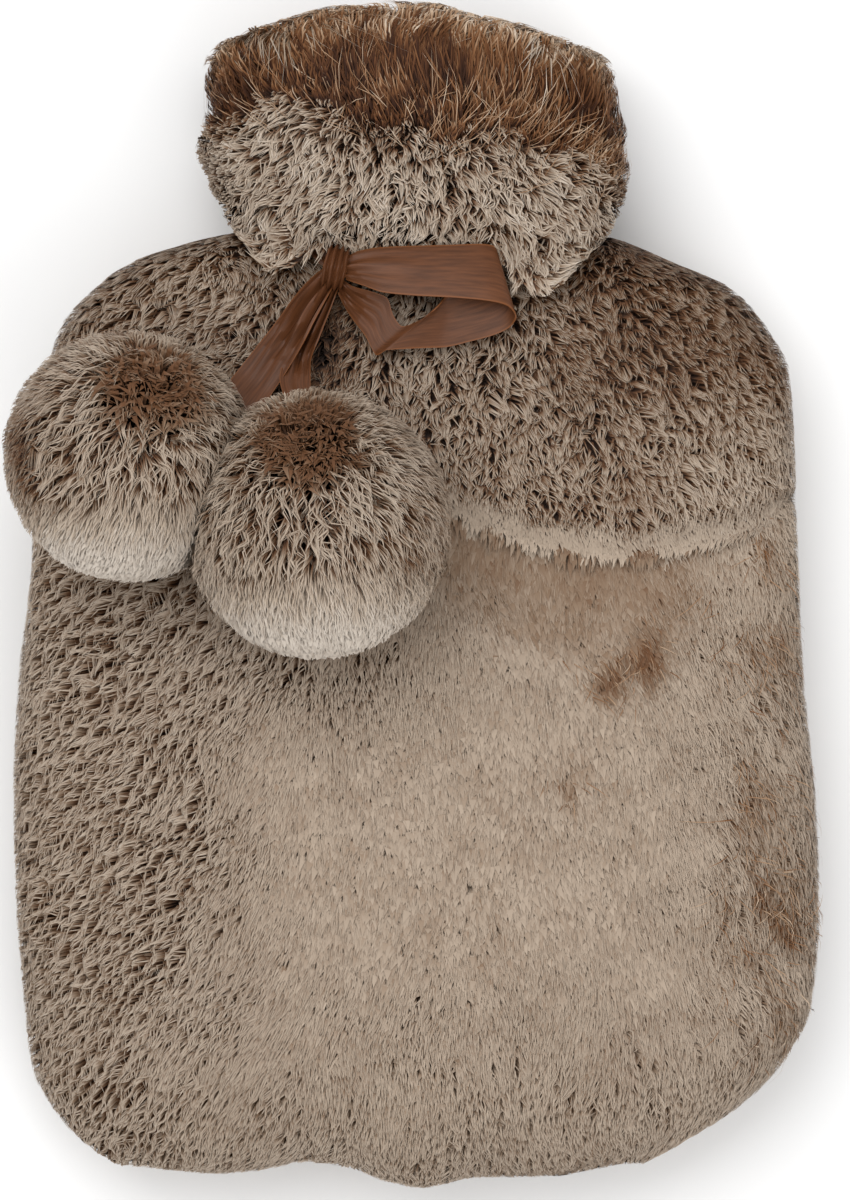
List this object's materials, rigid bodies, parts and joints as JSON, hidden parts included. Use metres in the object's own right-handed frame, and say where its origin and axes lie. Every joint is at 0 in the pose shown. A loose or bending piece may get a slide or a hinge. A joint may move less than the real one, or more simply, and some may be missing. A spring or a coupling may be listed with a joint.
{
  "type": "hot water bottle cover",
  "caption": "Long-pile faux-fur cover for a hot water bottle, lying on its back, with a folded collar, lapped front panels, a satin ribbon tie and fur pompoms.",
  "frame": {"origin": "on the flat back that the cover rests on, on its centre line and halfway along it", "axes": "+Y from the bottom hem to the collar's mouth, +Z out of the back towards the front with the ribbon, +X to the right as the front is seen"},
  "size_m": [0.251, 0.3649, 0.1338],
  "materials": {
    "fur": "long-pile faux fur, dark brown roots and frosted beige tips",
    "pompom_fur": "long-pile faux fur on pompoms, pale at the lower rim",
    "satin": "brown satin ribbon with a soft sheen"
  },
  "bodies": {
    "root": {"back_panel": "fur", "front_lower_panel": "fur", "front_upper_panel": "fur", "collar": "fur", "pompom_left": "pompom_fur", "pompom_front": "pompom_fur", "ribbon": "satin"}
  },
  "joints": []
}
